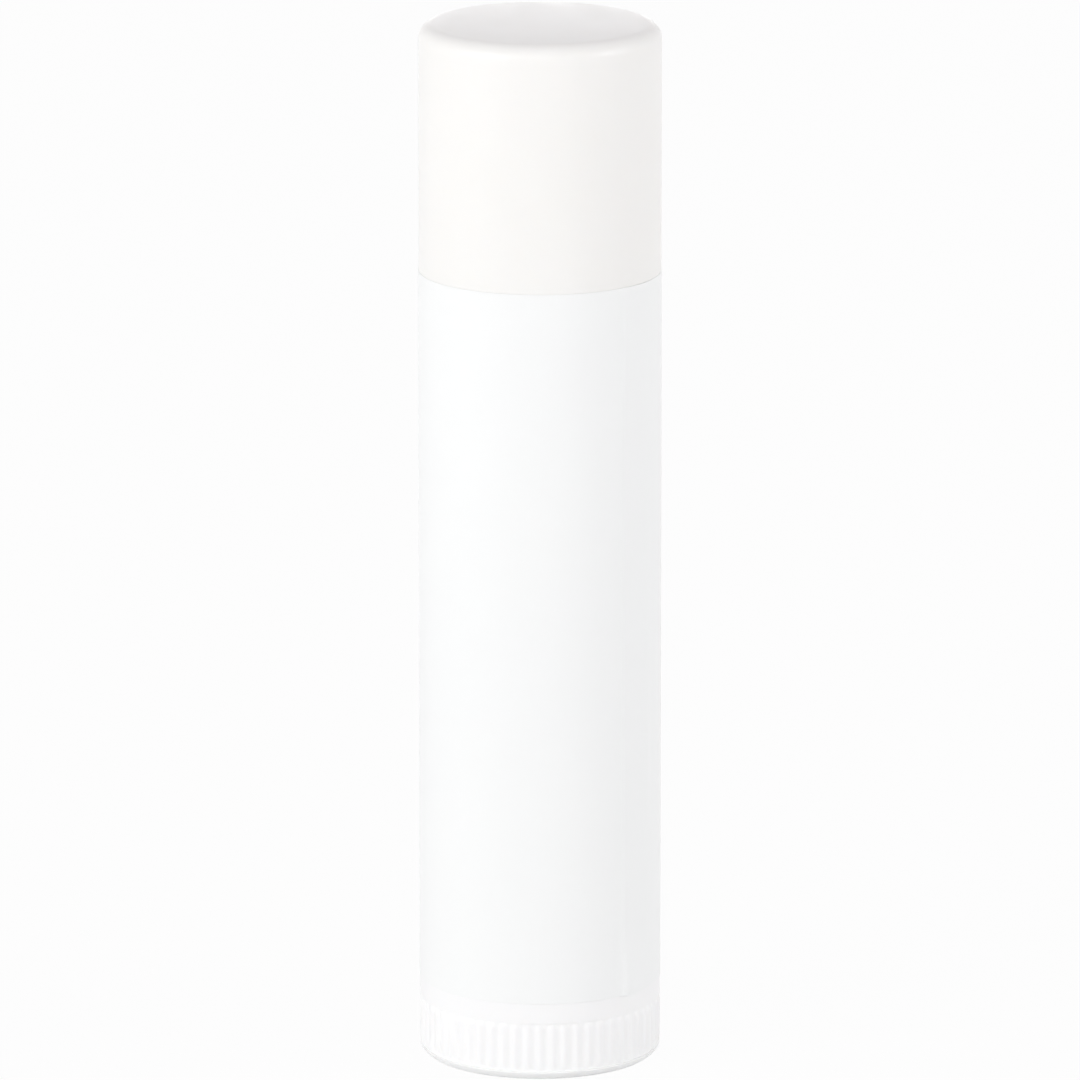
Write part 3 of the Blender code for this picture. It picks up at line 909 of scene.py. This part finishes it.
# %% [markdown]
# ## Camera
#
# The photograph looks slightly down on the stick through a long lens. The tops and seams curve a little more
# the lower they are, and that gives the distance.

# %% Place the camera
CAMERA_DISTANCE = 811.6 * MM
CAMERA_ELEVATION = math.radians(13.64)
CAMERA_TARGET = 34.94 * MM

camera_data = bpy.data.cameras.new("camera")
camera_data.lens = 408.5
camera_data.sensor_width = 36.0
camera_data.clip_start = 10 * MM
camera = bpy.data.objects.new("camera", camera_data)
bpy.context.collection.objects.link(camera)
camera.location = (
    0,
    -CAMERA_DISTANCE * math.cos(CAMERA_ELEVATION),
    CAMERA_TARGET + CAMERA_DISTANCE * math.sin(CAMERA_ELEVATION))
camera.rotation_euler = (math.pi / 2 - CAMERA_ELEVATION, 0, 0)
bpy.context.scene.camera = camera


# %% [markdown]
# ## Floor
#
# The floor is a sheet of pale paper. The camera, and gloss and clear plastic with it, sees most of the sheet
# as plain white, and the rest of it as paper, so the stick's own soft shadow stays on it.

# %% Lay the floor
FLOOR_SIZE = 3.0
WHITE_SHARE = 0.96
WHITE = linear("#FFFFFF")

leave_edit_mode()
bpy.ops.mesh.primitive_plane_add(size=FLOOR_SIZE, location=(0, 0, 0))
floor = bpy.context.object
floor.name = "studio_floor"
floor_paper = bpy.data.materials.new("pale_floor_paper")
floor_paper.use_nodes = True
floor_tree = floor_paper.node_tree
floor_tree.nodes.clear()


def seen_by_eye(tree):
    """1 for what the camera sees, straight or in gloss or clear plastic, and 0 for other light."""
    path = add_node(tree, "ShaderNodeLightPath")
    seen = path.outputs["Is Camera Ray"]
    for other in ("Is Glossy Ray", "Is Transmission Ray"):
        larger = add_node(tree, "ShaderNodeMath", {0: seen, 1: path.outputs[other]}, operation="MAXIMUM")
        seen = larger.outputs["Value"]
    return seen


white_share = add_node(floor_tree, "ShaderNodeMath", {0: seen_by_eye(floor_tree), 1: WHITE_SHARE},
                       operation="MULTIPLY")
paper = add_node(floor_tree, "ShaderNodeBsdfDiffuse", {"Color": linear("#E6E6E6")})
glow = add_node(floor_tree, "ShaderNodeEmission", {"Color": WHITE, "Strength": 1.0})
floor_mix = add_node(floor_tree, "ShaderNodeMixShader", {
    0: white_share.outputs["Value"], 1: paper.outputs["BSDF"], 2: glow.outputs["Emission"]})
add_node(floor_tree, "ShaderNodeOutputMaterial", {"Surface": floor_mix.outputs["Shader"]})
give(floor, floor_paper)


# %% [markdown]
# ## Light
#
# The photograph was lit almost evenly, with a soft box at the left, a weaker one at the right, and a faint
# broad one between them. A low, faint one behind the stick lights the far edge of the cap. Little comes from
# above: the flat top of the cap is darker than its wall, and faintly lilac. The room that the world stands
# for is therefore brightest at the horizon, and turns dim and a little lilac towards the ceiling.

# %% Set the lights
LAMP_DISTANCE = 0.9


def soft_box(name, azimuth, elevation, size, power):
    """A square lamp that faces the stick; azimuth 0 is the camera's side, positive to the right."""
    lamp = bpy.data.lights.new(name, "AREA")
    lamp.shape = "SQUARE"
    lamp.size = size
    lamp.energy = power
    box = bpy.data.objects.new(name, lamp)
    bpy.context.collection.objects.link(box)
    turn = math.radians(azimuth)
    tilt = math.radians(elevation)
    box.location = (
        LAMP_DISTANCE * math.cos(tilt) * math.sin(turn),
        -LAMP_DISTANCE * math.cos(tilt) * math.cos(turn),
        CAMERA_TARGET + LAMP_DISTANCE * math.sin(tilt))
    box.rotation_euler = (math.pi / 2 - tilt, 0, turn)


soft_box("key_left", azimuth=-52, elevation=18, size=0.5, power=2.75)
soft_box("fill_right", azimuth=72, elevation=18, size=0.4, power=1.55)
soft_box("broad_front", azimuth=0, elevation=20, size=0.7, power=0.52)
soft_box("low_back", azimuth=180, elevation=4, size=0.3, power=0.30)

# %% Light the room
HORIZON = 1.42
CEILING = 0.10

world = bpy.data.worlds.new("studio")
bpy.context.scene.world = world
world.use_nodes = True
room = world.node_tree
room.nodes.clear()
direction = add_node(room, "ShaderNodeTexCoord").outputs["Generated"]
height = add_node(room, "ShaderNodeSeparateXYZ", {0: direction}).outputs["Z"]
level = add_node(room, "ShaderNodeMapRange", {
    "Value": height, "From Min": 0.0, "From Max": 1.0, "To Min": HORIZON, "To Max": CEILING})
tint = between(room, height, "#FFFFFF", "#FBF0FC")
walls = add_node(room, "ShaderNodeBackground", {"Color": tint, "Strength": level.outputs["Result"]})
backdrop = add_node(room, "ShaderNodeBackground", {"Color": WHITE, "Strength": 1.0})
world_mix = add_node(room, "ShaderNodeMixShader", {
    0: seen_by_eye(room), 1: walls.outputs["Background"], 2: backdrop.outputs["Background"]})
add_node(room, "ShaderNodeOutputWorld", {"Surface": world_mix.outputs["Shader"]})

bpy.context.scene.view_settings.view_transform = "Standard"
